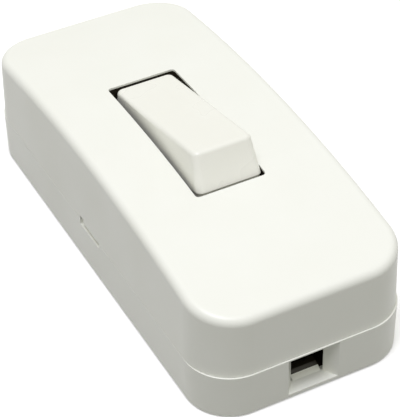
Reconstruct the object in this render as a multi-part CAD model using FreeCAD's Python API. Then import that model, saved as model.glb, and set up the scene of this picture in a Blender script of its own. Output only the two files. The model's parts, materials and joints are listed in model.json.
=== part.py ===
import FreeCAD, Part
import math
import os

# Inline cord switch: a single-pole rocker switch in a two-part snap-together housing, with a cord port
# in each end. Millimetres. X runs along the housing, Y across it and Z up. The origin is the middle of
# the base. The rocker is modelled with its +X end raised and its -X end pressed.

# Housing form
HOUSING_LENGTH = 70.0
HOUSING_WIDTH = 30.8
CROWN_HEIGHT = 19.6
END_DROP = 3.2
PARTING_HEIGHT = 7.1
TRAY_CORNER_RADIUS = 6.5
COVER_CORNER_RADIUS = 6.7
SIDE_WALL = 1.8
ROOF = 1.8
FLOOR = 1.1
UPPER_DRAFT = 1.0
LOWER_DRAFT = 1.0
TOP_EDGE_RADIUS = 1.2
BOTTOM_CHAMFER = 0.35

# Seam between the shells
SEAM_SETBACK_END = 0.22
SEAM_SETBACK_SIDE = 0.03
SEAM_GAP = 0.04
LIP_THICKNESS = 0.8
LIP_HEIGHT = 1.0
SEAM_CLEARANCE = 0.1
PRY_SLOT_LENGTH = 6.0
PRY_SLOT_HEIGHT = 0.75
PRY_SLOT_DEPTH = 0.45
PRY_NICK_LENGTH = 1.0
PRY_NICK_HEIGHT = 0.7

# Snap hooks of the upper shell
HOOK_WIDTH = 3.6
HOOK_THICKNESS = 1.2
HOOK_CATCH = 0.7
HOOK_CATCH_HEIGHT = 1.2
HOOK_TIP_ABOVE_FLOOR = 2.1
HOOK_ROOT_HEIGHT = 2.4
HOOK_CLEARANCE = 0.2

# Cord ports and strain relief
PORT_MOUTH_WIDTH = 7.6
PORT_THROAT_WIDTH = 4.8
PORT_SILL = 0.8
PORT_BELOW_SEAM = 0.2
GRIP_RIB_WIDTH = 4.2
GRIP_RIB_HEIGHT = 0.85
GRIP_RIB_RAMP = 1.2
GRIP_RIB_TOP = 0.9
CLAMP_FROM_END_WALL = 4.7
CLAMP_LENGTH = 5.0
CLAMP_THICKNESS = 2.2
CLAMP_END_RADIUS = 2.0
CLAMP_SCREW_SPACING = 15.0
CLAMP_BOSS_RADIUS = 2.6
CLAMP_ABOVE_SEAM = 0.2
CLAMP_TOOTH_HEIGHT = 0.6
CLAMP_TOOTH_BASE = 1.4

# Rocker opening and rocker
OPENING_LENGTH = 27.1
OPENING_WIDTH = 10.4
OPENING_OFFSET = -0.35
OPENING_CORNER_RADIUS = 0.5
ROCKER_TILT = 12.0
ROCKER_END_GAP = 0.25
ROCKER_SIDE_GAP = 0.35
ROCKER_SIDE_PLAY = 0.15
ROCKER_RISE = 5.1
ROCKER_FOOT = 0.4
ROCKER_SKIRT_DEPTH = 2.1
ROCKER_SKIRT_INSET = 0.2
ROCKER_END_SLOPE = 11.0
ROCKER_SIDE_SLOPE = 5.0
ROCKER_WALL = 1.3
ROCKER_TOP_EDGE_RADIUS = 0.6
ROCKER_CORNER_RADIUS = 1.0
ROCKER_INNER_RADIUS = 0.5
ROCKER_WEB = 1.0
PIVOT_BELOW_CROWN = 3.0
AXLE_RADIUS = 1.25
AXLE_CLEARANCE = 0.05
AXLE_END_GAP = 0.3
CHEEK_THICKNESS = 1.5
CHEEK_LENGTH = 9.0
CHEEK_BELOW_AXLE = 2.2

# Plunger, spring and contact blade
PLUNGER_RADIUS = 1.35
PLUNGER_CLEARANCE = 0.1
STEM_WALL = 1.05
STEM_REACH = 4.5
PLUNGER_TAIL = 2.5
SPRING_SPACE = 4.2
SPRING_WIRE = 0.35
SPRING_TURNS = 5
SPRING_STEPS_PER_TURN = 12
SPRING_WIRE_SIDES = 8
SPRING_END_GAP = 0.05
PLUNGER_BLADE_GAP = 0.15
BLADE_THICKNESS = 0.5
BLADE_WIDTH = 4.0
BLADE_WING_LENGTH = 8.6
BLADE_WING_ANGLE = 14.0
BLADE_TILT = 10.0
BLADE_PIN_RADIUS = 0.45
BLADE_PIN_CLEARANCE = 0.05
BLADE_PIN_ROOT = 0.3
BLADE_SIDE_GAP = 0.2
BLADE_AXIS_ABOVE_CONDUCTOR = 2.4
CONTACT_RADIUS = 1.3
CONTACT_HEIGHT = 0.7
CONTACT_REACH = 7.0
CONTACT_GAP = 0.1

# Conductors and terminals
CONDUCTOR_THICKNESS = 0.8
CONDUCTOR_WIDTH = 3.5
CONDUCTOR_ABOVE_FLOOR = 4.4
CRANK_RUN = 1.6
EAR_LENGTH = 3.0
EAR_ABOVE_PIN = 0.15
TERMINAL_FROM_CLAMP = 8.5
TERMINAL_PAD = 7.0
PILLAR_SIDE = 6.4
PILLAR_HOLE_DEPTH = 3.2
WASHER_SIDE = 6.0
WASHER_THICKNESS = 0.6
HOLD_DOWN_WIDTH = 1.5
HOLD_DOWN_LENGTH = 2.0
HOLD_DOWN_FROM_PAD = 0.5
HOLD_DOWN_FROM_CHEEK = 0.5

# Screws
SCREW_RADIUS = 1.45
SCREW_HEAD_RADIUS = 2.6
SCREW_HEAD_HEIGHT = 1.7
SCREW_HEAD_CHAMFER = 0.4
SCREW_SLOT_WIDTH = 0.8
SCREW_SLOT_DEPTH = 0.8
SCREW_HOLE_CLEARANCE = 0.05
TERMINAL_SCREW_LENGTH = 4.2
CLAMP_SCREW_LENGTH = 7.0

# Places that follow from the sizes above
HALF_LENGTH = HOUSING_LENGTH / 2
HALF_WIDTH = HOUSING_WIDTH / 2
CROWN_RADIUS = (HALF_LENGTH ** 2 + END_DROP ** 2) / (2 * END_DROP)
INNER_HALF_WIDTH = HALF_WIDTH - SIDE_WALL
LIP_TOP = PARTING_HEIGHT + LIP_HEIGHT
PIVOT_Z = CROWN_HEIGHT - PIVOT_BELOW_CROWN
CHEEK_OUTSIDE = OPENING_WIDTH / 2 + CHEEK_THICKNESS
CONDUCTOR_Y = CHEEK_OUTSIDE + HOLD_DOWN_FROM_CHEEK + HOLD_DOWN_WIDTH / 2
CONDUCTOR_BOTTOM = FLOOR + CONDUCTOR_ABOVE_FLOOR
CONDUCTOR_TOP = CONDUCTOR_BOTTOM + CONDUCTOR_THICKNESS
CLAMP_X = HALF_LENGTH - SIDE_WALL - CLAMP_FROM_END_WALL
CLAMP_BOTTOM = PARTING_HEIGHT + CLAMP_ABOVE_SEAM
CLAMP_TOP = CLAMP_BOTTOM + CLAMP_THICKNESS
CLAMP_SCREW_Y = CLAMP_SCREW_SPACING / 2
TERMINAL_X = CLAMP_X - TERMINAL_FROM_CLAMP
HOLD_DOWN_X = TERMINAL_X - TERMINAL_PAD / 2 - HOLD_DOWN_FROM_PAD - HOLD_DOWN_LENGTH / 2
SCREW_HOLE_RADIUS = SCREW_RADIUS + SCREW_HOLE_CLEARANCE
BLADE_AXIS_Z = CONDUCTOR_TOP + BLADE_AXIS_ABOVE_CONDUCTOR
BLADE_VALLEY = BLADE_THICKNESS / 2 / math.cos(math.radians(BLADE_WING_ANGLE))
TIP_REACH = PIVOT_Z - BLADE_AXIS_Z - BLADE_VALLEY - PLUNGER_BLADE_GAP
BORE_RADIUS = PLUNGER_RADIUS + PLUNGER_CLEARANCE
PLUNGER_TOP = PLUNGER_TAIL - STEM_REACH
BORE_TOP = PLUNGER_TOP + SPRING_SPACE

# Way past a surface, so that a cutting tool leaves no skin on it
PAST = 1.0


def point(x, y, z):
    return FreeCAD.Vector(x, y, z)


def block(x_range, y_range, z_range):
    """Box between the given ends along each axis."""
    low = point(x_range[0], y_range[0], z_range[0])
    return Part.makeBox(x_range[1] - x_range[0], y_range[1] - y_range[0], z_range[1] - z_range[0], low)


def upright_cylinder(x, y, radius, bottom, top):
    return Part.makeCylinder(radius, top - bottom, point(x, y, bottom))


def cross_cylinder(x, z, radius, half_width):
    """Cylinder along Y, centred on the X-Z plane."""
    return Part.makeCylinder(radius, 2 * half_width, point(x, -half_width, z), point(0, 1, 0))


def side_profile(corners, y_range):
    """Prism across the housing from a closed outline of (x, z) corners."""
    loop = [point(x, y_range[0], z) for x, z in corners]
    face = Part.Face(Part.makePolygon(loop + loop[:1]))
    return face.extrude(point(0, y_range[1] - y_range[0], 0))


def plan_profile(corners, z_range):
    """Upright prism from a closed outline of (x, y) corners."""
    loop = [point(x, y, z_range[0]) for x, y in corners]
    face = Part.Face(Part.makePolygon(loop + loop[:1]))
    return face.extrude(point(0, 0, z_range[1] - z_range[0]))


def rounded_outline(half_length, half_width, radius, z):
    """Level rectangle with round corners, as one closed wire."""
    edges = []
    middle_x = half_length - radius
    middle_y = half_width - radius
    turns = [(1, -1, 270), (1, 1, 0), (-1, 1, 90), (-1, -1, 180)]
    arcs = []
    for side_x, side_y, start in turns:
        centre = point(side_x * middle_x, side_y * middle_y, z)
        arcs.append(Part.makeCircle(radius, centre, point(0, 0, 1), start, start + 90))
    for index, arc in enumerate(arcs):
        following = arcs[(index + 1) % len(arcs)]
        edges.append(arc)
        edges.append(Part.makeLine(arc.Vertexes[-1].Point, following.Vertexes[0].Point))
    return Part.Wire(edges)


def drafted_block(half_length, half_width, radius, z_range, draft):
    """Round-cornered block whose sides lean in by the draft angle from the first height to the second."""
    lean = abs(z_range[1] - z_range[0]) * math.tan(math.radians(draft))
    first = rounded_outline(half_length, half_width, radius, z_range[0])
    second = rounded_outline(half_length - lean, half_width - lean, radius - lean, z_range[1])
    return Part.makeLoft([first, second], True, True)


def on_both_sides(shape):
    """The shape and its mirror image across the X-Z plane."""
    return [shape, shape.mirror(point(0, 0, 0), point(0, 1, 0))]


def at_both_ends(shape):
    """The shape and its mirror image across the Y-Z plane."""
    return [shape, shape.mirror(point(0, 0, 0), point(1, 0, 0))]


def at_four_places(shape):
    return [copy for half in at_both_ends(shape) for copy in on_both_sides(half)]


def across(shapes, distance):
    """The shapes moved across the housing."""
    moved = [shape.copy() for shape in shapes]
    for shape in moved:
        shape.translate(point(0, distance, 0))
    return moved


def edges_where(shape, wanted):
    return [edge for edge in shape.Edges if wanted(edge)]


# Upper shell: a deep cover with a crowned roof, open below

def crown_cylinder(depth):
    """Large cylinder across the housing, whose top is the crowned roof or, lower by depth, its inside.

    It is turned half round so that the line where its surface closes lies far below.
    """
    centre_z = CROWN_HEIGHT - CROWN_RADIUS
    cylinder = cross_cylinder(0, centre_z, CROWN_RADIUS - depth, HOUSING_WIDTH)
    cylinder.rotate(point(0, 0, centre_z), point(0, 1, 0), 180)
    return cylinder


def crown_edges(shape, radius):
    """Edges of the shape whose ends both lie on the crown."""
    centre = point(0, 0, CROWN_HEIGHT - CROWN_RADIUS)
    found = []
    for edge in shape.Edges:
        spans = [math.hypot(v.X - centre.x, v.Z - centre.z) for v in edge.Vertexes]
        if len(spans) == 2 and max(abs(span - radius) for span in spans) < 1e-4:
            found.append(edge)
    return found


def cover_form(inset, depth):
    """Solid form of the cover, smaller all round by inset and lower by depth."""
    half_length = HALF_LENGTH - SEAM_SETBACK_END - inset
    half_width = HALF_WIDTH - SEAM_SETBACK_SIDE - inset
    tall = drafted_block(half_length, half_width, COVER_CORNER_RADIUS - inset,
                         (PARTING_HEIGHT + SEAM_GAP, CROWN_HEIGHT + PAST), UPPER_DRAFT)
    return tall.common(crown_cylinder(depth))


def rocker_opening():
    """Upright cutter of the rocker opening."""
    outline = rounded_outline(OPENING_LENGTH / 2, OPENING_WIDTH / 2, OPENING_CORNER_RADIUS, PARTING_HEIGHT)
    return Part.Face(outline).extrude(point(0, 0, CROWN_HEIGHT))


def seam_rebate():
    """Space that the lower shell's lip takes up inside the cover's wall."""
    grown = LIP_THICKNESS + SEAM_CLEARANCE - SIDE_WALL
    outline = rounded_outline(HALF_LENGTH + grown, HALF_WIDTH + grown, TRAY_CORNER_RADIUS + grown,
                              PARTING_HEIGHT)
    return Part.Face(outline).extrude(point(0, 0, LIP_HEIGHT + SEAM_CLEARANCE))


def cheek_bottom():
    return PIVOT_Z - AXLE_RADIUS - CHEEK_BELOW_AXLE


def rocker_cheek():
    """Bearing wall that hangs from the roof beside the opening."""
    half = CHEEK_LENGTH / 2
    z_range = (cheek_bottom(), CROWN_HEIGHT - ROOF / 2)
    return block((-half, half), (OPENING_WIDTH / 2, CHEEK_OUTSIDE), z_range)


def axle_slots():
    """Cutters of the seats for the rocker's axle in both cheeks, open below to let it in."""
    radius = AXLE_RADIUS + AXLE_CLEARANCE
    seat = cross_cylinder(0, PIVOT_Z, radius, CHEEK_OUTSIDE)
    slot = block((-radius, radius), (-CHEEK_OUTSIDE, CHEEK_OUTSIDE), (cheek_bottom() - PAST, PIVOT_Z))
    return [seat, slot]


def hold_down():
    """Post that comes down from the roof on a conductor and keeps it in its seat."""
    x_range = (HOLD_DOWN_X - HOLD_DOWN_LENGTH / 2, HOLD_DOWN_X + HOLD_DOWN_LENGTH / 2)
    y_range = (CONDUCTOR_Y - HOLD_DOWN_WIDTH / 2, CONDUCTOR_Y + HOLD_DOWN_WIDTH / 2)
    return block(x_range, y_range, (CONDUCTOR_TOP, CROWN_HEIGHT - ROOF / 2))


def snap_hook():
    """Cantilever hook on the long wall: an arm down into the lower shell, with an outward catch."""
    outside = INNER_HALF_WIDTH - HOOK_CLEARANCE
    inside = outside - HOOK_THICKNESS
    tip = FLOOR + HOOK_TIP_ABOVE_FLOOR
    root_bottom = LIP_TOP + SEAM_CLEARANCE
    root_top = root_bottom + HOOK_ROOT_HEIGHT
    catch_top = tip + HOOK_CATCH_HEIGHT
    corners = [
        (inside, tip),
        (outside, tip),
        (outside + HOOK_CATCH, catch_top),
        (outside, catch_top),
        (outside, root_bottom),
        (HALF_WIDTH - SIDE_WALL / 2, root_bottom),
        (HALF_WIDTH - SIDE_WALL / 2, root_top + HOOK_THICKNESS),
        (inside, root_top),
    ]
    loop = [point(-HOOK_WIDTH / 2, y, z) for y, z in corners]
    face = Part.Face(Part.makePolygon(loop + loop[:1]))
    return face.extrude(point(HOOK_WIDTH, 0, 0))


def pry_nick():
    """Small nick through the cover's edge, and the lip behind it, over one end of the pry slot."""
    start = -PRY_SLOT_LENGTH / 2
    return block((start, start + PRY_NICK_LENGTH), (INNER_HALF_WIDTH - PAST, HALF_WIDTH + PAST),
                 (PARTING_HEIGHT, PARTING_HEIGHT + PRY_NICK_HEIGHT))


def make_upper_shell():
    outside = cover_form(0, 0)
    outside = outside.makeFillet(TOP_EDGE_RADIUS, crown_edges(outside, CROWN_RADIUS))
    inside = cover_form(SIDE_WALL, ROOF)
    shell = outside.cut([inside, seam_rebate()])
    cheeks = across(on_both_sides(rocker_cheek()), OPENING_OFFSET)
    shell = shell.fuse(at_four_places(hold_down()) + cheeks + on_both_sides(snap_hook()))
    cutters = across([rocker_opening()] + axle_slots(), OPENING_OFFSET)
    return shell.cut(cutters + on_both_sides(pry_nick()))


# Lower shell: a shallow tray with the cord ports, pillars and bosses

def tray_form():
    """Solid form of the tray, its sides leaning in towards the base, with the base edge broken."""
    form = drafted_block(HALF_LENGTH, HALF_WIDTH, TRAY_CORNER_RADIUS, (PARTING_HEIGHT, 0), LOWER_DRAFT)
    base_edges = edges_where(form, lambda edge: all(abs(v.Z) < 1e-6 for v in edge.Vertexes))
    return form.makeChamfer(BOTTOM_CHAMFER, base_edges)


def tray_cavity(top):
    radius = TRAY_CORNER_RADIUS - SIDE_WALL
    outline = rounded_outline(HALF_LENGTH - SIDE_WALL, INNER_HALF_WIDTH, radius, FLOOR)
    return Part.Face(outline).extrude(point(0, 0, top - FLOOR))


def seam_lip():
    """Lip that stands up from the inner half of the tray's wall."""
    grown = LIP_THICKNESS - SIDE_WALL
    outline = rounded_outline(HALF_LENGTH + grown, HALF_WIDTH + grown, TRAY_CORNER_RADIUS + grown,
                              PARTING_HEIGHT - SIDE_WALL)
    return Part.Face(outline).extrude(point(0, 0, LIP_HEIGHT + SIDE_WALL))


def cord_port():
    """Cutter of a cord port: a funnel through the end wall, narrowing inwards, on a sloping sill."""
    inside = HALF_LENGTH - SIDE_WALL
    outside = HALF_LENGTH + PAST
    top = PARTING_HEIGHT - PORT_BELOW_SEAM
    throat = PORT_THROAT_WIDTH / 2
    mouth = PORT_MOUTH_WIDTH / 2
    wide = mouth + PAST * (mouth - throat) / SIDE_WALL
    low = PORT_SILL - PAST * (FLOOR - PORT_SILL) / SIDE_WALL
    funnel = plan_profile([(inside, -throat), (outside, -wide), (outside, wide), (inside, throat)], (0, top))
    room = side_profile([(inside, FLOOR), (outside, low), (outside, top), (inside, top)], (-wide, wide))
    return funnel.common(room)


def grip_ribs():
    """Two ribs across the cord's way: a ramp behind the port and a tooth below the clamp bar."""
    start = HALF_LENGTH - SIDE_WALL
    top = FLOOR + GRIP_RIB_HEIGHT
    root = FLOOR / 2
    crest = start - GRIP_RIB_RAMP
    back = crest - GRIP_RIB_TOP
    y_range = (-GRIP_RIB_WIDTH / 2, GRIP_RIB_WIDTH / 2)
    ramp = [(start, root), (start, FLOOR), (crest, top), (back, top), (back, root)]
    tooth = [(CLAMP_X + GRIP_RIB_TOP, root), (CLAMP_X + GRIP_RIB_TOP, FLOOR), (CLAMP_X, top),
             (CLAMP_X - GRIP_RIB_TOP, FLOOR), (CLAMP_X - GRIP_RIB_TOP, root)]
    return [side_profile(ramp, y_range), side_profile(tooth, y_range)]


def terminal_pillar():
    half = PILLAR_SIDE / 2
    return block((TERMINAL_X - half, TERMINAL_X + half), (CONDUCTOR_Y - half, CONDUCTOR_Y + half),
                 (FLOOR / 2, CONDUCTOR_BOTTOM))


def terminal_pillar_hole():
    bottom = CONDUCTOR_BOTTOM - PILLAR_HOLE_DEPTH
    return upright_cylinder(TERMINAL_X, CONDUCTOR_Y, SCREW_HOLE_RADIUS, bottom, CONDUCTOR_BOTTOM + PAST)


def clamp_boss():
    return upright_cylinder(CLAMP_X, CLAMP_SCREW_Y, CLAMP_BOSS_RADIUS, FLOOR / 2, CLAMP_BOTTOM)


def clamp_boss_hole():
    return upright_cylinder(CLAMP_X, CLAMP_SCREW_Y, SCREW_HOLE_RADIUS, FLOOR, CLAMP_BOTTOM + PAST)


def hook_pocket():
    """Pocket in the long wall for the catch of a snap hook."""
    tip = FLOOR + HOOK_TIP_ABOVE_FLOOR
    half = HOOK_WIDTH / 2 + HOOK_CLEARANCE
    deep = INNER_HALF_WIDTH + HOOK_CATCH
    z_range = (tip - HOOK_CLEARANCE, tip + HOOK_CATCH_HEIGHT + HOOK_CLEARANCE)
    return block((-half, half), (INNER_HALF_WIDTH - PAST, deep), z_range)


def pry_slot():
    """Slot in the tray's top edge, halfway along the long wall, to open the housing with a blade."""
    half = PRY_SLOT_LENGTH / 2
    return block((-half, half), (HALF_WIDTH - PRY_SLOT_DEPTH, HALF_WIDTH + PAST),
                 (PARTING_HEIGHT - PRY_SLOT_HEIGHT, PARTING_HEIGHT + PAST))


def make_lower_shell():
    tray = tray_form().fuse(seam_lip()).cut(tray_cavity(LIP_TOP + PAST))
    inner = at_four_places(terminal_pillar()) + at_four_places(clamp_boss())
    inner += [rib for piece in grip_ribs() for rib in at_both_ends(piece)]
    inner += [fulcrum_seat(), contact_seat()]
    tray = tray.fuse(inner)
    holes = at_four_places(terminal_pillar_hole()) + at_four_places(clamp_boss_hole())
    holes += at_both_ends(cord_port()) + on_both_sides(hook_pocket())
    holes += on_both_sides(pry_slot()) + on_both_sides(pry_nick())
    return tray.cut(holes)


# Rocker, built level about its axle and then tilted to its rest pose

def rocker_body():
    """Upper part of the rocker: leaning ends and sides, round corners and a soft edge round the top."""
    foot_length = OPENING_LENGTH / 2 - ROCKER_END_GAP
    foot_width = OPENING_WIDTH / 2 - ROCKER_SIDE_GAP
    height = ROCKER_RISE + ROCKER_FOOT
    top_length = foot_length - height * math.tan(math.radians(ROCKER_END_SLOPE))
    top_width = foot_width - height * math.tan(math.radians(ROCKER_SIDE_SLOPE))
    foot = rounded_outline(foot_length, foot_width, ROCKER_CORNER_RADIUS, -ROCKER_FOOT)
    top = rounded_outline(top_length, top_width, ROCKER_CORNER_RADIUS, ROCKER_RISE)
    body = Part.makeLoft([foot, top], True, True)
    top_edges = edges_where(body, lambda edge: all(abs(v.Z - ROCKER_RISE) < 1e-6 for v in edge.Vertexes))
    return body.makeFillet(ROCKER_TOP_EDGE_RADIUS, top_edges)


def rocker_skirt():
    """Straight skirt below the body, which keeps the opening closed at the raised end."""
    half_length = OPENING_LENGTH / 2 - ROCKER_END_GAP - ROCKER_SKIRT_INSET
    half_width = OPENING_WIDTH / 2 - ROCKER_SIDE_GAP - ROCKER_SKIRT_INSET / 2
    bottom = -ROCKER_FOOT - ROCKER_SKIRT_DEPTH
    outline = rounded_outline(half_length, half_width, ROCKER_CORNER_RADIUS, bottom)
    return Part.Face(outline).extrude(point(0, 0, ROCKER_SKIRT_DEPTH + ROCKER_WALL / 2))


def rocker_hollow():
    """Inside of the rocker, open below."""
    bottom = -ROCKER_FOOT - ROCKER_SKIRT_DEPTH - PAST
    half_length = OPENING_LENGTH / 2 - ROCKER_END_GAP - ROCKER_SKIRT_INSET - ROCKER_WALL
    half_width = OPENING_WIDTH / 2 - ROCKER_SIDE_GAP - ROCKER_SKIRT_INSET / 2 - ROCKER_WALL
    top = ROCKER_RISE - ROCKER_WALL
    end_lean = (top + ROCKER_FOOT) * math.tan(math.radians(ROCKER_END_SLOPE))
    side_lean = (top + ROCKER_FOOT) * math.tan(math.radians(ROCKER_SIDE_SLOPE))
    first = rounded_outline(half_length, half_width, ROCKER_INNER_RADIUS, bottom)
    middle = rounded_outline(half_length, half_width, ROCKER_INNER_RADIUS, -ROCKER_FOOT)
    last = rounded_outline(half_length - end_lean, half_width - side_lean, ROCKER_INNER_RADIUS, top)
    return Part.makeLoft([first, middle, last], True, True)


def rocker_axle():
    """Moulded stub axles on both sides, in one bar that the stem and web carry between them."""
    half_width = CHEEK_OUTSIDE - AXLE_END_GAP
    return cross_cylinder(0, 0, AXLE_RADIUS, half_width)


def make_level_rocker():
    hollow = rocker_hollow()
    ceiling = ROCKER_RISE - ROCKER_WALL / 2
    inside_width = OPENING_WIDTH / 2 - ROCKER_SIDE_GAP - ROCKER_WALL / 2
    web = block((-ROCKER_WEB / 2, ROCKER_WEB / 2), (-inside_width, inside_width), (0, ceiling))
    web = web.common(rocker_body())
    stem = upright_cylinder(0, 0, BORE_RADIUS + STEM_WALL, -STEM_REACH, ceiling)
    bore = upright_cylinder(0, 0, BORE_RADIUS, -STEM_REACH - PAST, BORE_TOP)
    rocker = rocker_body().fuse(rocker_skirt()).cut(hollow)
    return rocker.fuse([web, stem, rocker_axle()]).cut(bore)


def to_rest_pose(shape):
    """Tilt a piece that was built level about the axle and put it in its place in the housing."""
    placed = shape.copy()
    placed.rotate(point(0, 0, 0), point(0, 1, 0), -ROCKER_TILT)
    placed.translate(point(0, OPENING_OFFSET + ROCKER_SIDE_PLAY, PIVOT_Z))
    return placed


def make_level_plunger():
    """Round plunger with a ball tip, which slides in the rocker's stem."""
    ball_centre = PLUNGER_RADIUS - TIP_REACH
    shank = upright_cylinder(0, 0, PLUNGER_RADIUS, ball_centre, PLUNGER_TOP)
    return shank.fuse(Part.makeSphere(PLUNGER_RADIUS, point(0, 0, ball_centre))).removeSplitter()


def wire_section(angle, coil_radius, rise):
    """Cross-section of the spring wire, as a polygon square to the coil, at an angle along it."""
    outward = point(math.cos(angle), math.sin(angle), 0)
    along = point(-coil_radius * outward.y, coil_radius * outward.x, rise).normalize()
    upward = along.cross(outward)
    centre = outward * coil_radius + point(0, 0, rise * angle)
    corners = []
    for side in range(SPRING_WIRE_SIDES):
        turn = 2 * math.pi * side / SPRING_WIRE_SIDES
        offset = outward * math.cos(turn) + upward * math.sin(turn)
        corners.append(centre + offset * (SPRING_WIRE / 2))
    return Part.makePolygon(corners + corners[:1])


def make_level_spring():
    """Compression spring between the plunger and the end of the bore, swept in short steps."""
    coil_radius = PLUNGER_RADIUS - SPRING_WIRE / 2
    height = SPRING_SPACE - SPRING_WIRE - 2 * SPRING_END_GAP
    steps = SPRING_TURNS * SPRING_STEPS_PER_TURN
    turned = 2 * math.pi * SPRING_TURNS
    angles = [turned * step / steps for step in range(steps + 1)]
    sections = [wire_section(angle, coil_radius, height / turned) for angle in angles]
    coil = Part.makeLoft(sections, True, True)
    coil.translate(point(0, 0, PLUNGER_TOP + SPRING_END_GAP + SPRING_WIRE / 2))
    return coil


# Contact blade, a seesaw in the shape of a shallow V, built level about its pivot pins

def wing_point(along, above, side):
    """Place on a level blade's wing: along it from the pivot, above its middle plane."""
    angle = math.radians(BLADE_WING_ANGLE)
    x = along * math.cos(angle) - above * math.sin(angle)
    z = along * math.sin(angle) + above * math.cos(angle)
    return side * x, z


def make_level_blade():
    half = BLADE_THICKNESS / 2
    corners = [
        (0, -BLADE_VALLEY),
        wing_point(BLADE_WING_LENGTH, -half, 1),
        wing_point(BLADE_WING_LENGTH, half, 1),
        (0, BLADE_VALLEY),
        wing_point(BLADE_WING_LENGTH, half, -1),
        wing_point(BLADE_WING_LENGTH, -half, -1),
    ]
    strip = side_profile(corners, (-BLADE_WIDTH / 2, BLADE_WIDTH / 2))
    start = BLADE_WIDTH / 2 - BLADE_PIN_ROOT
    length = ear_outside() + BLADE_SIDE_GAP - start
    pin = Part.makeCylinder(BLADE_PIN_RADIUS, length, point(0, start, 0), point(0, 1, 0))
    return strip.fuse(on_both_sides(pin))


def make_level_blade_contact():
    """Contact disc welded under the blade's -X wing."""
    top_x, top_z = wing_point(CONTACT_REACH, -BLADE_THICKNESS / 2, -1)
    angle = math.radians(BLADE_WING_ANGLE)
    down = point(-math.sin(angle), 0, -math.cos(angle))
    return Part.makeCylinder(CONTACT_RADIUS, CONTACT_HEIGHT, point(top_x, 0, top_z), down)


def blade_pose(shape, tilt):
    """Turn a piece of the level blade about the pins, +X wing down, and put it in its place."""
    placed = shape.copy()
    placed.rotate(point(0, 0, 0), point(0, 1, 0), tilt)
    placed.translate(point(0, 0, BLADE_AXIS_Z))
    return placed


# Conductors in the tray

def closed_contact_bottom():
    """Lowest height of the blade's contact when the switch is closed."""
    return blade_pose(make_level_blade_contact(), -BLADE_TILT).BoundBox.ZMin


def fixed_contact_x():
    return blade_pose(make_level_blade_contact(), -BLADE_TILT).BoundBox.Center.x


def contact_plate_top():
    return closed_contact_bottom() - CONTACT_GAP - CONTACT_HEIGHT


def terminal_pad(x, y):
    half = TERMINAL_PAD / 2
    return block((x - half, x + half), (y - half, y + half), (CONDUCTOR_BOTTOM, CONDUCTOR_TOP))


def terminal_hole(x, y):
    return upright_cylinder(x, y, SCREW_HOLE_RADIUS, CONDUCTOR_BOTTOM - PAST, CONDUCTOR_TOP + PAST)


def ear_outside():
    return BLADE_WIDTH / 2 + BLADE_SIDE_GAP + CONDUCTOR_THICKNESS


def fulcrum_ear():
    """Upright ear with a round notch, in which a pivot pin of the blade rocks."""
    radius = BLADE_PIN_RADIUS + BLADE_PIN_CLEARANCE
    top = BLADE_AXIS_Z + BLADE_PIN_RADIUS + EAR_ABOVE_PIN
    y_range = (ear_outside() - CONDUCTOR_THICKNESS, ear_outside())
    plate = block((-EAR_LENGTH / 2, EAR_LENGTH / 2), y_range, (CONDUCTOR_BOTTOM, top))
    notch = block((-radius, radius), (0, HALF_WIDTH), (BLADE_AXIS_Z, top + PAST))
    return plate.cut([cross_cylinder(0, BLADE_AXIS_Z, radius, HALF_WIDTH), notch])


def make_live_in_terminal():
    """Brass conductor from the +X terminal to the middle, where its two ears carry the blade."""
    inner = -CONDUCTOR_Y + CONDUCTOR_WIDTH / 2
    outer = -CONDUCTOR_Y - CONDUCTOR_WIDTH / 2
    level = (CONDUCTOR_BOTTOM, CONDUCTOR_TOP)
    strip = block((-EAR_LENGTH / 2, TERMINAL_X), (outer, inner), level)
    bridge = block((-EAR_LENGTH / 2, EAR_LENGTH / 2), (inner - CONDUCTOR_THICKNESS, ear_outside()), level)
    body = terminal_pad(TERMINAL_X, -CONDUCTOR_Y).fuse([strip, bridge] + on_both_sides(fulcrum_ear()))
    return body.cut(terminal_hole(TERMINAL_X, -CONDUCTOR_Y)).removeSplitter()


def contact_plate_range():
    """Ends along X of the raised plate under the fixed contact."""
    half = CONTACT_RADIUS + CONDUCTOR_THICKNESS
    return fixed_contact_x() - half, fixed_contact_x() + half


def make_live_out_terminal():
    """Brass conductor from the -X terminal, cranked up to the plate that carries the fixed contact."""
    inner = -CONDUCTOR_Y + CONDUCTOR_WIDTH / 2
    outer = -CONDUCTOR_Y - CONDUCTOR_WIDTH / 2
    plate_low, plate_high = contact_plate_range()
    plate_top = contact_plate_top()
    crank = plate_low - CRANK_RUN
    flat = block((-TERMINAL_X, crank), (outer, inner), (CONDUCTOR_BOTTOM, CONDUCTOR_TOP))
    rise = side_profile([(crank, CONDUCTOR_BOTTOM), (plate_low, plate_top - CONDUCTOR_THICKNESS),
                         (plate_low, plate_top), (crank, CONDUCTOR_TOP)], (outer, inner))
    plate = block((plate_low, plate_high), (outer, CONTACT_RADIUS + CONDUCTOR_THICKNESS),
                  (plate_top - CONDUCTOR_THICKNESS, plate_top))
    body = terminal_pad(-TERMINAL_X, -CONDUCTOR_Y).fuse([flat, rise, plate])
    return body.cut(terminal_hole(-TERMINAL_X, -CONDUCTOR_Y)).removeSplitter()


def make_neutral_link():
    """Brass link that carries the neutral straight through, with a terminal at each end."""
    strip = block((-TERMINAL_X, TERMINAL_X),
                  (CONDUCTOR_Y - CONDUCTOR_WIDTH / 2, CONDUCTOR_Y + CONDUCTOR_WIDTH / 2),
                  (CONDUCTOR_BOTTOM, CONDUCTOR_TOP))
    body = strip.fuse([terminal_pad(x, CONDUCTOR_Y) for x in (-TERMINAL_X, TERMINAL_X)])
    return body.cut([terminal_hole(x, CONDUCTOR_Y) for x in (-TERMINAL_X, TERMINAL_X)]).removeSplitter()


def make_fixed_contact():
    top = closed_contact_bottom() - CONTACT_GAP
    return upright_cylinder(fixed_contact_x(), 0, CONTACT_RADIUS, top - CONTACT_HEIGHT, top)


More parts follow.
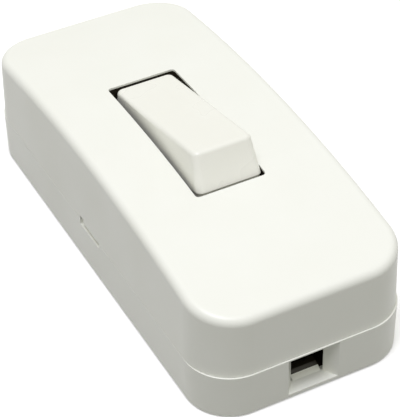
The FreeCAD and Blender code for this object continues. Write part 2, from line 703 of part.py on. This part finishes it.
def fulcrum_seat():
    """Block of the tray under the middle of the live-in conductor."""
    x_range = (-EAR_LENGTH / 2, EAR_LENGTH / 2)
    return block(x_range, (-CONDUCTOR_Y, ear_outside()), (FLOOR / 2, CONDUCTOR_BOTTOM))


def contact_seat():
    """Block of the tray under the raised plate of the live-out conductor."""
    plate_low, plate_high = contact_plate_range()
    z_range = (FLOOR / 2, contact_plate_top() - CONDUCTOR_THICKNESS)
    return block((plate_low, plate_high), (-CONDUCTOR_Y, CONTACT_RADIUS), z_range)


# Screws, washers and cord clamps

def screw(x, y, seat, length):
    """Pan-head screw whose head rests at the seat height, with a straight slot."""
    top = seat + SCREW_HEAD_HEIGHT
    middle = seat + SCREW_HEAD_HEIGHT / 2
    head = upright_cylinder(x, y, SCREW_HEAD_RADIUS, seat, top)
    top_edge = edges_where(head, lambda edge: edge.Closed and edge.Vertexes[0].Z > middle)
    head = head.makeChamfer(SCREW_HEAD_CHAMFER, top_edge)
    shank = upright_cylinder(x, y, SCREW_RADIUS, seat - length, middle)
    slot = block((x - SCREW_SLOT_WIDTH / 2, x + SCREW_SLOT_WIDTH / 2),
                 (y - SCREW_HEAD_RADIUS - PAST, y + SCREW_HEAD_RADIUS + PAST),
                 (top - SCREW_SLOT_DEPTH, top + PAST))
    return head.fuse(shank).cut(slot)


def make_washer(x, y):
    """Square clamping washer that lies on a terminal pad."""
    half = WASHER_SIDE / 2
    top = CONDUCTOR_TOP + WASHER_THICKNESS
    plate = block((x - half, x + half), (y - half, y + half), (CONDUCTOR_TOP, top))
    return plate.cut(upright_cylinder(x, y, SCREW_HOLE_RADIUS, CONDUCTOR_TOP - PAST, top + PAST))


def make_cord_clamp(x):
    """Clamp bar across the cord, on two bosses, with a pair of teeth below that bite the sheath."""
    reach = CLAMP_SCREW_Y + CLAMP_BOSS_RADIUS
    outline = rounded_outline(CLAMP_LENGTH / 2, reach, CLAMP_END_RADIUS, CLAMP_BOTTOM)
    bar = Part.Face(outline).extrude(point(0, 0, CLAMP_THICKNESS))
    teeth = []
    for side in (-1, 1):
        middle = side * CLAMP_TOOTH_BASE
        corners = [(middle - CLAMP_TOOTH_BASE / 2, CLAMP_BOTTOM), (middle, CLAMP_BOTTOM - CLAMP_TOOTH_HEIGHT),
                   (middle + CLAMP_TOOTH_BASE / 2, CLAMP_BOTTOM)]
        teeth.append(side_profile(corners, (-PORT_THROAT_WIDTH / 2, PORT_THROAT_WIDTH / 2)))
    bar = bar.fuse(teeth)
    holes = [upright_cylinder(0, y, SCREW_HOLE_RADIUS, CLAMP_BOTTOM - PAST, CLAMP_TOP + PAST)
             for y in (-CLAMP_SCREW_Y, CLAMP_SCREW_Y)]
    bar = bar.cut(holes)
    bar.translate(point(x, 0, 0))
    return bar


def make_clamp_screws(x):
    places = (-CLAMP_SCREW_Y, CLAMP_SCREW_Y)
    return Part.makeCompound([screw(x, y, CLAMP_TOP, CLAMP_SCREW_LENGTH) for y in places])


def save(name, shape):
    shape.exportStep(os.path.join("parts", name + ".step"))


def make_all():
    pieces = {
        "upper_shell": make_upper_shell(),
        "lower_shell": make_lower_shell(),
        "rocker": to_rest_pose(make_level_rocker()),
        "spring_plunger": to_rest_pose(make_level_plunger()),
        "rocker_spring": to_rest_pose(make_level_spring()),
        "contact_blade": blade_pose(make_level_blade(), BLADE_TILT),
        "blade_contact": blade_pose(make_level_blade_contact(), BLADE_TILT),
        "live_in_terminal": make_live_in_terminal(),
        "live_out_terminal": make_live_out_terminal(),
        "neutral_link": make_neutral_link(),
        "fixed_contact": make_fixed_contact(),
    }
    terminals = {
        "live_in": (TERMINAL_X, -CONDUCTOR_Y),
        "live_out": (-TERMINAL_X, -CONDUCTOR_Y),
        "neutral_in": (TERMINAL_X, CONDUCTOR_Y),
        "neutral_out": (-TERMINAL_X, CONDUCTOR_Y),
    }
    for name, (x, y) in terminals.items():
        pieces[name + "_washer"] = make_washer(x, y)
        pieces[name + "_screw"] = screw(x, y, CONDUCTOR_TOP + WASHER_THICKNESS, TERMINAL_SCREW_LENGTH)
    for name, x in {"in": CLAMP_X, "out": -CLAMP_X}.items():
        pieces["cord_clamp_" + name] = make_cord_clamp(x)
        pieces["clamp_screws_" + name] = make_clamp_screws(x)
    return pieces


os.makedirs("parts", exist_ok=True)
for piece_name, piece_shape in make_all().items():
    save(piece_name, piece_shape)
    print(piece_name, len(piece_shape.Solids), round(piece_shape.Volume, 2), piece_shape.isValid())
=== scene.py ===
"""Inline cord switch: white moulded housing with a rocker, shown on a pale table."""

import json
import math

import bpy
from mathutils import Matrix, Vector

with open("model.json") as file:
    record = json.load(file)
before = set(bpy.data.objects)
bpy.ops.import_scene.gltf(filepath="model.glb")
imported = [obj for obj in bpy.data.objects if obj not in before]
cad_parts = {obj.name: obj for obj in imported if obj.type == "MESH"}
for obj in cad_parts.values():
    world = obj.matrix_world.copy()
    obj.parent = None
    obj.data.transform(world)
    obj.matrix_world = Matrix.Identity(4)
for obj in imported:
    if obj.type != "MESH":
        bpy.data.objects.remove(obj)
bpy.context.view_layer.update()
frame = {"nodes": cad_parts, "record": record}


# Camera: the photograph was taken from above the near end, +X, and from its left side, -Y. The
# values were fitted to the outline, the seam, the opening and the port, in degrees, in millimetres
# and in pixels of 400 x 417.
AZIMUTH = math.radians(63.035)
ELEVATION = math.radians(40.131)
ROLL = math.radians(-1.127)
DISTANCE = 257.963
OFFSET_RIGHT = -1.663
OFFSET_UP = 3.774
FOCAL_PIXELS = 1847.839
LONG_SIDE_PIXELS = 417
AIM = Vector((0, 0, 10))
SENSOR_WIDTH = 36
CLIP_START_M = 0.01
MM_PER_M = 1000

back = Vector((math.sin(AZIMUTH) * math.cos(ELEVATION), -math.cos(AZIMUTH) * math.cos(ELEVATION),
               math.sin(ELEVATION)))
level_right = Vector((math.cos(AZIMUTH), math.sin(AZIMUTH), 0))
level_up = back.cross(level_right)
right = math.cos(ROLL) * level_right + math.sin(ROLL) * level_up
up = -math.sin(ROLL) * level_right + math.cos(ROLL) * level_up
eye = (AIM + DISTANCE * back - OFFSET_RIGHT * right - OFFSET_UP * up) / MM_PER_M

camera = bpy.data.objects.new("camera", bpy.data.cameras.new("camera"))
camera.matrix_world = Matrix.Translation(eye) @ Matrix((right, up, back)).transposed().to_4x4()
camera.data.sensor_width = SENSOR_WIDTH
camera.data.lens = FOCAL_PIXELS * SENSOR_WIDTH / LONG_SIDE_PIXELS
camera.data.clip_start = CLIP_START_M
bpy.context.collection.objects.link(camera)
bpy.context.scene.camera = camera


# Shells: two halves moulded in white ABS with a satin outside, which hook together at the seam.
# They show a faint grain, cloudy gloss, slightly soft corners, and painted shade in gaps too
# narrow for light to reach. Their insides get the same painted shade, as dark as the photograph
# shows them in the opening and the port.
SHELL_WHITE = "F3F4EE"
SHELL_AGED = "EFF0E8"
SHELL_ROUGHNESS = 0.36
PLASTIC_IOR = 1.53

# The melt's flow leaves clouds of gloss. The tool's real grain is finer than a tenth of a
# millimetre, and is drawn at 0.3 mm so that it shows.
CLOUD_MM = 9.0
CLOUD_GLOSS = 0.05
GRAIN_MM = 0.3
GRAIN_HEIGHT_MM = 0.003
GRAIN_STRENGTH = 0.3
NOISE_DETAIL = 2.0
UNSTRETCHED = (1, 1, 1)
CORNER_MM = 0.12
CORNER_SAMPLES = 6

# A spot takes the painted shade, a dark brown, where less than a few hundredths of the space
# within its reach is open, and is unshaded from three tenths on, so an open face beside a wall, at
# a half, stays unshaded.
PAINTED_SHADE = "2A251C"
GAP_REACH_MM = 0.6
GAP_SAMPLES = 24
SHADED_BELOW = 0.06
UNSHADED_ABOVE = 0.30

# The painted shade inside is a box that stops short of the sides and of the ports' mouths, and
# that ends a little below the crown's arc.
CROWN_RADIUS_MM = 193.0
CROWN_TOP_MM = 19.6
INSIDE_DEPTH_MM = 0.3
INSIDE_FROM_MM = Vector((-32.5, -12.8, 0.6))
INSIDE_TO_MM = Vector((32.5, 12.8, 19.6))
X_AND_Z = (1, 0, 1)

# A Mix node's colour sockets share their names with its other ones, so they go by number.
MIX_SHARE = 0
MIX_FIRST = 6
MIX_SECOND = 7
MIX_COLOUR = 2


def srgb(text):
    """Linear colour from an sRGB hex value: straight near black, and a power of 2.4 above it."""
    channels = [int(text[i:i + 2], 16) / 255 for i in (0, 2, 4)]
    return [c / 12.92 if c <= 0.04045 else ((c + 0.055) / 1.055) ** 2.4 for c in channels] + [1]


def add_node(owner, kind, sockets, **settings):
    """Adds a shader node. A socket gets a plain value, or a link from another node's output."""
    node = owner.node_tree.nodes.new(kind)
    for name, value in settings.items():
        setattr(node, name, value)
    for socket, value in sockets.items():
        if isinstance(value, bpy.types.NodeSocket):
            owner.node_tree.links.new(value, node.inputs[socket])
        else:
            node.inputs[socket].default_value = value
    return node


def clear_nodes(owner):
    """Leaves a new material or world with no nodes."""
    owner.use_nodes = True
    owner.node_tree.nodes.clear()
    return owner


def noise(material, size_mm, stretch=UNSTRETCHED):
    """Soft noise whose blots are about size_mm across, times stretch along each axis."""
    place = add_node(material, "ShaderNodeTexCoord", {})
    placed = add_node(material, "ShaderNodeMapping", {
        "Vector": place.outputs["Object"], "Scale": [1 / along for along in stretch]})
    blots = add_node(material, "ShaderNodeTexNoise", {
        "Vector": placed.outputs["Vector"], "Scale": MM_PER_M / size_mm, "Detail": NOISE_DETAIL})
    return blots.outputs["Fac"]


def inside_housing(material):
    """One inside the box and below the crown's arc, where painted shade goes, zero on the outer
    faces.

    The box: a place's distance from the middle, over half the box, is below one along each axis.
    The arc: the place is nearer to the arc's axis, which runs across the switch, than its radius.
    """
    place = add_node(material, "ShaderNodeTexCoord", {}).outputs["Object"]
    middle = (INSIDE_FROM_MM + INSIDE_TO_MM) / 2 / MM_PER_M
    half = (INSIDE_TO_MM - INSIDE_FROM_MM) / 2 / MM_PER_M
    offset = add_node(material, "ShaderNodeVectorMath", {0: place, 1: middle},
                      operation="SUBTRACT")
    share = add_node(material, "ShaderNodeVectorMath", {0: offset.outputs[0], 1: half},
                     operation="DIVIDE")
    size = add_node(material, "ShaderNodeVectorMath", {0: share.outputs[0]}, operation="ABSOLUTE")
    along = add_node(material, "ShaderNodeSeparateXYZ", {"Vector": size.outputs[0]}).outputs
    flat = add_node(material, "ShaderNodeMath", {0: along["X"], 1: along["Y"]},
                    operation="MAXIMUM")
    widest = add_node(material, "ShaderNodeMath", {0: flat.outputs[0], 1: along["Z"]},
                      operation="MAXIMUM")
    in_box = add_node(material, "ShaderNodeMath", {0: widest.outputs[0], 1: 1.0},
                      operation="LESS_THAN")

    arc_middle = (0, 0, (CROWN_TOP_MM - CROWN_RADIUS_MM) / MM_PER_M)
    dark_radius = (CROWN_RADIUS_MM - INSIDE_DEPTH_MM) / MM_PER_M
    upward = add_node(material, "ShaderNodeVectorMath", {0: place, 1: arc_middle},
                      operation="SUBTRACT")
    upright = add_node(material, "ShaderNodeVectorMath", {0: upward.outputs[0], 1: X_AND_Z},
                       operation="MULTIPLY")
    height = add_node(material, "ShaderNodeVectorMath", {0: upright.outputs[0]},
                      operation="LENGTH")
    below_arc = add_node(material, "ShaderNodeMath", {0: height.outputs["Value"], 1: dark_radius},
                         operation="LESS_THAN")
    both = add_node(material, "ShaderNodeMath", {0: in_box.outputs[0], 1: below_arc.outputs[0]},
                    operation="MULTIPLY")
    return both.outputs[0]


def moulded(name, clean, aged, roughness, shade_painted_inside=False):
    """Moulded plastic: cloudy tint and gloss, grained, soft corners, and painted shade in gaps."""
    material = clear_nodes(bpy.data.materials.new(name))
    clouds = noise(material, CLOUD_MM)
    tint = add_node(material, "ShaderNodeMix", {
        MIX_SHARE: clouds, MIX_FIRST: srgb(clean), MIX_SECOND: srgb(aged)}, data_type="RGBA")
    # Painted shade: where ambient occlusion finds a gap nearly closed, the colour goes to dark
    # brown.
    openness = add_node(material, "ShaderNodeAmbientOcclusion", {
        "Distance": GAP_REACH_MM / MM_PER_M}, samples=GAP_SAMPLES)
    unshaded = add_node(material, "ShaderNodeMapRange", {
        "Value": openness.outputs["AO"], "From Min": SHADED_BELOW, "From Max": UNSHADED_ABOVE})
    colour = add_node(material, "ShaderNodeMix", {
        MIX_SHARE: unshaded.outputs["Result"], MIX_FIRST: srgb(PAINTED_SHADE),
        MIX_SECOND: tint.outputs[MIX_COLOUR]}, data_type="RGBA")
    # Painted shade: everything inside the box takes the same dark brown.
    if shade_painted_inside:
        colour = add_node(material, "ShaderNodeMix", {
            MIX_SHARE: inside_housing(material), MIX_FIRST: colour.outputs[MIX_COLOUR],
            MIX_SECOND: srgb(PAINTED_SHADE)}, data_type="RGBA")
    gloss = add_node(material, "ShaderNodeMapRange", {
        "Value": clouds, "To Min": roughness - CLOUD_GLOSS, "To Max": roughness + CLOUD_GLOSS})
    soft = add_node(material, "ShaderNodeBevel", {
        "Radius": CORNER_MM / MM_PER_M}, samples=CORNER_SAMPLES)
    relief = add_node(material, "ShaderNodeBump", {
        "Strength": GRAIN_STRENGTH, "Distance": GRAIN_HEIGHT_MM / MM_PER_M,
        "Height": noise(material, GRAIN_MM), "Normal": soft.outputs["Normal"]})
    shader = add_node(material, "ShaderNodeBsdfPrincipled", {
        "Base Color": colour.outputs[MIX_COLOUR], "Roughness": gloss.outputs["Result"],
        "IOR": PLASTIC_IOR, "Normal": relief.outputs["Normal"]})
    add_node(material, "ShaderNodeOutputMaterial", {"Surface": shader.outputs["BSDF"]})
    return material


def dress(slot, material):
    """Gives a material to every CAD node of a material slot."""
    for part in frame["record"]["subparts"]:
        if part["material_slot"] == slot:
            faces = frame["nodes"][part["node"]].data
            faces.materials.clear()
            faces.materials.append(material)


dress("shell_plastic",
      moulded("shell_abs", SHELL_WHITE, SHELL_AGED, SHELL_ROUGHNESS, shade_painted_inside=True))


# Rocker: moulded in ABS, slightly creamier than the shells, and glossier because fingers rub it
# smooth. It turns on its own stub axles, which sit in the cover's cheeks.
ROCKER_WHITE = "F3F3EC"
ROCKER_AGED = "EFEFE6"
ROCKER_ROUGHNESS = 0.28

dress("rocker_plastic", moulded("rocker_abs", ROCKER_WHITE, ROCKER_AGED, ROCKER_ROUGHNESS))


# Clamp bars and plunger: moulded in natural nylon, a little yellow and dull. The bars are screwed
# down over the cord, and the plunger slides in the rocker's stem.
NYLON = "DEDACB"
NYLON_AGED = "D2CDB9"
NYLON_ROUGHNESS = 0.5

dress("inner_plastic", moulded("natural_nylon", NYLON, NYLON_AGED, NYLON_ROUGHNESS))


# Terminals, link and blade: punched from rolled brass sheet and bent, warm yellow with darker
# tarnished patches. They lie in the base under the cover's posts, and the blade rocks in two ears
# of the live-in terminal.
BRASS = "D2AC58"
BRASS_TARNISHED = "A98234"
BRASS_ROUGHNESS = 0.3
PATCH_MM = 2.0

# Rolling leaves lines along the sheet. Real ones are a few hundredths of a millimetre apart, and
# are drawn coarser so that they show.
LINE_MM = 0.12
ROLLED_ALONG = (25, 1, 1)
LINE_HEIGHT_MM = 0.002
LINE_STRENGTH = 0.4
LINE_SMOOTHER = 0.08
LINE_ROUGHER = 0.12


def metal(name, bright, dull, roughness, stretch=UNSTRETCHED):
    """Bare metal with dull patches and fine lines, which stretch draws out along an axis."""
    material = clear_nodes(bpy.data.materials.new(name))
    lines = noise(material, LINE_MM, stretch)
    colour = add_node(material, "ShaderNodeMix", {
        MIX_SHARE: noise(material, PATCH_MM), MIX_FIRST: srgb(bright),
        MIX_SECOND: srgb(dull)}, data_type="RGBA")
    gloss = add_node(material, "ShaderNodeMapRange", {
        "Value": lines, "To Min": roughness - LINE_SMOOTHER, "To Max": roughness + LINE_ROUGHER})
    relief = add_node(material, "ShaderNodeBump", {
        "Strength": LINE_STRENGTH, "Distance": LINE_HEIGHT_MM / MM_PER_M, "Height": lines})
    shader = add_node(material, "ShaderNodeBsdfPrincipled", {
        "Base Color": colour.outputs[MIX_COLOUR], "Roughness": gloss.outputs["Result"],
        "Metallic": 1.0, "Normal": relief.outputs["Normal"]})
    add_node(material, "ShaderNodeOutputMaterial", {"Surface": shader.outputs["BSDF"]})
    return material


dress("brass", metal("rolled_brass", BRASS, BRASS_TARNISHED, BRASS_ROUGHNESS, ROLLED_ALONG))


# Contacts: two silver discs, one welded under the blade's wing and one on the live-out terminal.
# Silver is the palest and smoothest of the metals here, with duller patches.
SILVER = "DEDBD2"
SILVER_DULL = "B5AFA3"
SILVER_ROUGHNESS = 0.25

dress("silver", metal("contact_silver", SILVER, SILVER_DULL, SILVER_ROUGHNESS))


# Screws, washers and spring: turned, punched and wound from steel, then zinc plated against rust.
# The plating is a cool pale grey with a fine even grain.
ZINC = "C3C6C9"
ZINC_DULL = "A4A59B"
ZINC_ROUGHNESS = 0.32

dress("steel", metal("zinc_plated_steel", ZINC, ZINC_DULL, ZINC_ROUGHNESS))


# Table: a sheet of matt white paper that runs on past the picture. The camera and mirrored rays
# see it white, and it throws only a little light back, so the switch's sides keep their shade.
TABLE_HALF_M = 3.0
TABLE_BOUNCE = (0.06, 0.06, 0.06, 1)
TABLE_LIFT = 0.2
PAPER_WHITE = "FFFFFF"
PAPER_ROUGHNESS = 0.9

floor_corners = [(TABLE_HALF_M * x, TABLE_HALF_M * y, 0)
                 for x, y in ((-1, -1), (1, -1), (1, 1), (-1, 1))]
floor_mesh = bpy.data.meshes.new("floor")
floor_mesh.from_pydata(floor_corners, [], [(0, 1, 2, 3)])
floor = bpy.data.objects.new("floor", floor_mesh)
bpy.context.collection.objects.link(floor)


def seen_as_background(owner):
    """One for rays from the camera, a mirror or a window, zero for light on its way elsewhere."""
    ray = add_node(owner, "ShaderNodeLightPath", {}).outputs
    seen = add_node(owner, "ShaderNodeMath", {0: ray["Is Camera Ray"], 1: ray["Is Glossy Ray"]},
                    operation="MAXIMUM")
    seen = add_node(owner, "ShaderNodeMath", {0: seen.outputs[0], 1: ray["Is Transmission Ray"]},
                    operation="MAXIMUM")
    return seen.outputs[0]


paper = clear_nodes(bpy.data.materials.new("matt_white_paper"))
background = seen_as_background(paper)
paper_tone = add_node(paper, "ShaderNodeMix", {
    MIX_SHARE: background, MIX_FIRST: TABLE_BOUNCE, MIX_SECOND: srgb(PAPER_WHITE)},
    data_type="RGBA")
lift = add_node(paper, "ShaderNodeMath", {0: background, 1: TABLE_LIFT}, operation="MULTIPLY")
paper_shader = add_node(paper, "ShaderNodeBsdfPrincipled", {
    "Base Color": paper_tone.outputs[MIX_COLOUR], "Roughness": PAPER_ROUGHNESS,
    "Specular IOR Level": 0.0, "Emission Color": srgb(PAPER_WHITE),
    "Emission Strength": lift.outputs[0]})
add_node(paper, "ShaderNodeOutputMaterial", {"Surface": paper_shader.outputs["BSDF"]})
floor_mesh.materials.append(paper)


# Light: one large soft panel above and a little in front, and an even, slightly warm room around
# it, which the camera sees white.
PANEL_TOWARD = Vector((0.17, -0.18, 1.0)).normalized()
PANEL_DISTANCE_M = 0.8
PANEL_SIZE_M = 0.35
PANEL_WATTS = 3.0
PANEL_COLOUR = (1.0, 1.0, 1.12)
ROOM_STRENGTH = 0.61
ROOM_SEEN = 1.0
ROOM_COLOUR = (1.0, 0.995, 0.90, 1.0)

panel = bpy.data.lights.new("soft_panel", "AREA")
panel.shape = "SQUARE"
panel.size = PANEL_SIZE_M
panel.energy = PANEL_WATTS
panel.color = PANEL_COLOUR
holder = bpy.data.objects.new("soft_panel", panel)
holder.matrix_world = (Matrix.Translation(PANEL_TOWARD * PANEL_DISTANCE_M)
                       @ PANEL_TOWARD.to_track_quat("Z", "Y").to_matrix().to_4x4())
bpy.context.collection.objects.link(holder)

room = clear_nodes(bpy.data.worlds.new("room"))
room_level = add_node(room, "ShaderNodeMapRange", {
    "Value": seen_as_background(room), "To Min": ROOM_STRENGTH, "To Max": ROOM_SEEN})
room_light = add_node(room, "ShaderNodeBackground", {
    "Color": ROOM_COLOUR, "Strength": room_level.outputs["Result"]})
add_node(room, "ShaderNodeOutputWorld", {"Surface": room_light.outputs["Background"]})
bpy.context.scene.world = room
bpy.context.scene.view_settings.view_transform = "Standard"
